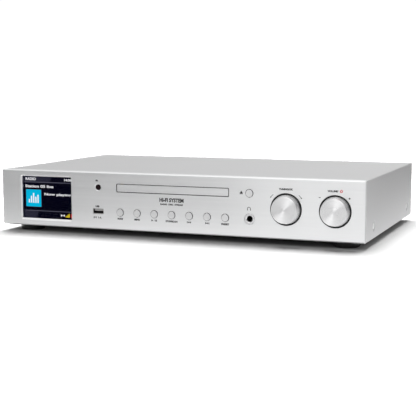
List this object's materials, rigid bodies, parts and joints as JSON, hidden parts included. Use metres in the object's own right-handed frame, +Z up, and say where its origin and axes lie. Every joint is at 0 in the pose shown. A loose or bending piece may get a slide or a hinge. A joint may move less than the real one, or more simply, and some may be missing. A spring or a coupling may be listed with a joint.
{
  "type": "mini hifi system",
  "caption": "Slim hi-fi receiver with a disc drive: aluminium front, colour display, motorised disc tray, push buttons, two knobs, steel case on feet.",
  "frame": {"origin": "on the floor, below the centre of the whole box", "axes": "+X to the user's right along the front, +Y from the front face to the back, +Z up"},
  "size_m": [0.435, 0.278, 0.0726],
  "materials": {
    "brushed_aluminium": "fine horizontal brushing, clear anodised",
    "turned_aluminium": "spun-brushed face, polished edge",
    "button_aluminium": "satin anodised",
    "cover_paint": "smooth satin silver paint",
    "zinc_sheet": "zinc-plated sheet",
    "foot_plastic": "semi-gloss black",
    "screw_steel": "zinc-plated",
    "display_glass": "dark tinted, glossy",
    "black_plastic": "fine moulded texture",
    "lens_plastic": "dark infrared filter",
    "plated_shell": "nickel-plated sheet",
    "circuit_board": "solder mask",
    "board_parts": "component bodies",
    "drive_plastic": "glass-filled moulding",
    "tray_plastic": "satin black moulding",
    "gear_plastic": "natural acetal",
    "belt_rubber": "smooth",
    "motor_can": "plated can",
    "rod_steel": "ground and polished",
    "gold_plate": "gold-plated brass"
  },
  "bodies": {
    "case": {"front_panel": "brushed_aluminium", "top_cover": "cover_paint", "bottom_chassis": "zinc_sheet", "rear_panel": "cover_paint", "feet": "foot_plastic", "case_screws": "screw_steel", "underside_screws": "screw_steel", "internal_screws": "screw_steel", "front_frame": "black_plastic", "display_window": "display_glass", "display_module": "black_plastic", "ir_window": "lens_plastic", "usb_socket": "plated_shell", "headphone_jack": "black_plastic", "control_board": "circuit_board", "tact_switches": "black_plastic", "drive_frame": "drive_plastic", "loading_belt": "belt_rubber", "loading_motor": "motor_can", "clamp_bridge": "zinc_sheet", "main_board": "circuit_board", "main_board_parts": "board_parts", "power_board": "circuit_board", "power_board_parts": "board_parts", "mains_inlet": "black_plastic", "mains_switch": "black_plastic", "phono_sockets": "gold_plate", "digital_sockets": "black_plastic", "antenna_socket": "plated_shell", "tuning_encoder": "motor_can", "volume_encoder": "motor_can"},
    "tray": {"disc_tray": "tray_plastic", "tray_door": "brushed_aluminium"},
    "loading_gear": {"tray_gear": "gear_plastic"},
    "belt_pulley": {"loading_pulley": "gear_plastic"},
    "drive_pulley": {"motor_pulley": "gear_plastic"},
    "deck": {"traverse_deck": "zinc_sheet", "guide_rods": "rod_steel", "spindle_motor": "motor_can", "sled_motor": "motor_can"},
    "disc_table": {"turntable": "tray_plastic"},
    "puck": {"clamp_puck": "gear_plastic"},
    "pickup": {"laser_pickup": "black_plastic"},
    "feed_gear": {"sled_gear": "gear_plastic"},
    "feed_pinion": {"sled_pinion": "gear_plastic"},
    "rocker": {"mains_rocker": "black_plastic"},
    "mode_button": {"button_mode": "button_aluminium"},
    "menu_button": {"button_menu": "button_aluminium"},
    "play_button": {"button_play": "button_aluminium"},
    "stop_button": {"button_stop": "button_aluminium"},
    "previous_button": {"button_previous": "button_aluminium"},
    "next_button": {"button_next": "button_aluminium"},
    "preset_button": {"button_preset": "button_aluminium"},
    "eject_button": {"button_eject": "button_aluminium"},
    "tuning_push": {"tuning_plunger": "gear_plastic"},
    "tuning_control": {"tuning_knob": "turned_aluminium", "tuning_shaft": "rod_steel"},
    "volume_push": {"volume_plunger": "gear_plastic"},
    "volume_control": {"volume_knob": "turned_aluminium", "volume_shaft": "rod_steel"}
  },
  "joints": [
    {"name": "tray_slide", "type": "slide", "parent": "case", "child": "tray", "axis": [0, -1, 0], "range_m": [0, 0.132]},
    {"name": "loading_gear_turn", "type": "hinge", "parent": "case", "child": "loading_gear", "pos_m": [-0.048, -0.0958, 0.0503], "axis": [0, 0, 1], "range_deg": [0, 757]},
    {"name": "belt_pulley_turn", "type": "hinge", "parent": "case", "child": "belt_pulley", "pos_m": [-0.048, -0.0798, 0.0469], "axis": [0, 0, 1], "range_deg": [-1261, 0]},
    {"name": "drive_pulley_turn", "type": "hinge", "parent": "case", "child": "drive_pulley", "pos_m": [-0.048, -0.0378, 0.0454], "axis": [0, 0, 1], "range_deg": [-4445, 0]},
    {"name": "deck_tilt", "type": "hinge", "parent": "case", "child": "deck", "pos_m": [0, 0.0232, 0.0461], "axis": [1, 0, 0], "range_deg": [0, 5]},
    {"name": "disc_spin", "type": "hinge", "parent": "deck", "child": "disc_table", "pos_m": [0, -0.0608, 0.0556], "axis": [0, 0, 1], "continuous": true},
    {"name": "puck_spin", "type": "hinge", "parent": "case", "child": "puck", "pos_m": [0, -0.0608, 0.0626], "axis": [0, 0, 1], "continuous": true},
    {"name": "pickup_feed", "type": "slide", "parent": "deck", "child": "pickup", "axis": [0, 1, 0], "range_m": [0, 0.036]},
    {"name": "feed_gear_turn", "type": "hinge", "parent": "deck", "child": "feed_gear", "pos_m": [0.038, -0.0188, 0.0492], "axis": [0, 0, 1], "range_deg": [-230, 0]},
    {"name": "feed_pinion_turn", "type": "hinge", "parent": "deck", "child": "feed_pinion", "pos_m": [0.038, -0.0056, 0.0492], "axis": [0, 0, 1], "range_deg": [0, 492]},
    {"name": "mains_rocker_rock", "type": "hinge", "parent": "case", "child": "rocker", "pos_m": [-0.138, 0.1262, 0.0316], "axis": [-1, 0, 0], "range_deg": [0, 14]},
    {"name": "mode_button_press", "type": "slide", "parent": "case", "child": "mode_button", "axis": [0, 1, 0], "range_m": [0, 0.0008], "stiffness_N_per_m": 1500},
    {"name": "menu_button_press", "type": "slide", "parent": "case", "child": "menu_button", "axis": [0, 1, 0], "range_m": [0, 0.0008], "stiffness_N_per_m": 1500},
    {"name": "play_button_press", "type": "slide", "parent": "case", "child": "play_button", "axis": [0, 1, 0], "range_m": [0, 0.0008], "stiffness_N_per_m": 1500},
    {"name": "stop_button_press", "type": "slide", "parent": "case", "child": "stop_button", "axis": [0, 1, 0], "range_m": [0, 0.0008], "stiffness_N_per_m": 1500},
    {"name": "previous_button_press", "type": "slide", "parent": "case", "child": "previous_button", "axis": [0, 1, 0], "range_m": [0, 0.0008], "stiffness_N_per_m": 1500},
    {"name": "next_button_press", "type": "slide", "parent": "case", "child": "next_button", "axis": [0, 1, 0], "range_m": [0, 0.0008], "stiffness_N_per_m": 1500},
    {"name": "preset_button_press", "type": "slide", "parent": "case", "child": "preset_button", "axis": [0, 1, 0], "range_m": [0, 0.0008], "stiffness_N_per_m": 1500},
    {"name": "eject_button_press", "type": "slide", "parent": "case", "child": "eject_button", "axis": [0, 1, 0], "range_m": [0, 0.0008], "stiffness_N_per_m": 1500},
    {"name": "tuning_knob_push", "type": "slide", "parent": "case", "child": "tuning_push", "axis": [0, 1, 0], "range_m": [0, 0.0006], "stiffness_N_per_m": 4000},
    {"name": "tuning_knob_turn", "type": "hinge", "parent": "tuning_push", "child": "tuning_control", "pos_m": [0.1316, -0.1308, 0.0396], "axis": [0, -1, 0], "continuous": true},
    {"name": "volume_knob_push", "type": "slide", "parent": "case", "child": "volume_push", "axis": [0, 1, 0], "range_m": [0, 0.0006], "stiffness_N_per_m": 4000},
    {"name": "volume_knob_turn", "type": "hinge", "parent": "volume_push", "child": "volume_control", "pos_m": [0.1848, -0.1308, 0.0396], "axis": [0, -1, 0], "continuous": true}
  ],
  "couplings": [
    {"joint": "loading_gear_turn", "follows": "tray_slide", "rad_per_m": 100},
    {"joint": "belt_pulley_turn", "follows": "tray_slide", "rad_per_m": -166.67},
    {"joint": "drive_pulley_turn", "follows": "tray_slide", "rad_per_m": -587.5},
    {"joint": "deck_tilt", "follows": "tray_slide", "rad_per_m": 0.66},
    {"joint": "puck_spin", "follows": "disc_spin", "ratio": 1},
    {"joint": "feed_gear_turn", "follows": "pickup_feed", "rad_per_m": -111.11},
    {"joint": "feed_pinion_turn", "follows": "pickup_feed", "rad_per_m": 238.1}
  ]
}
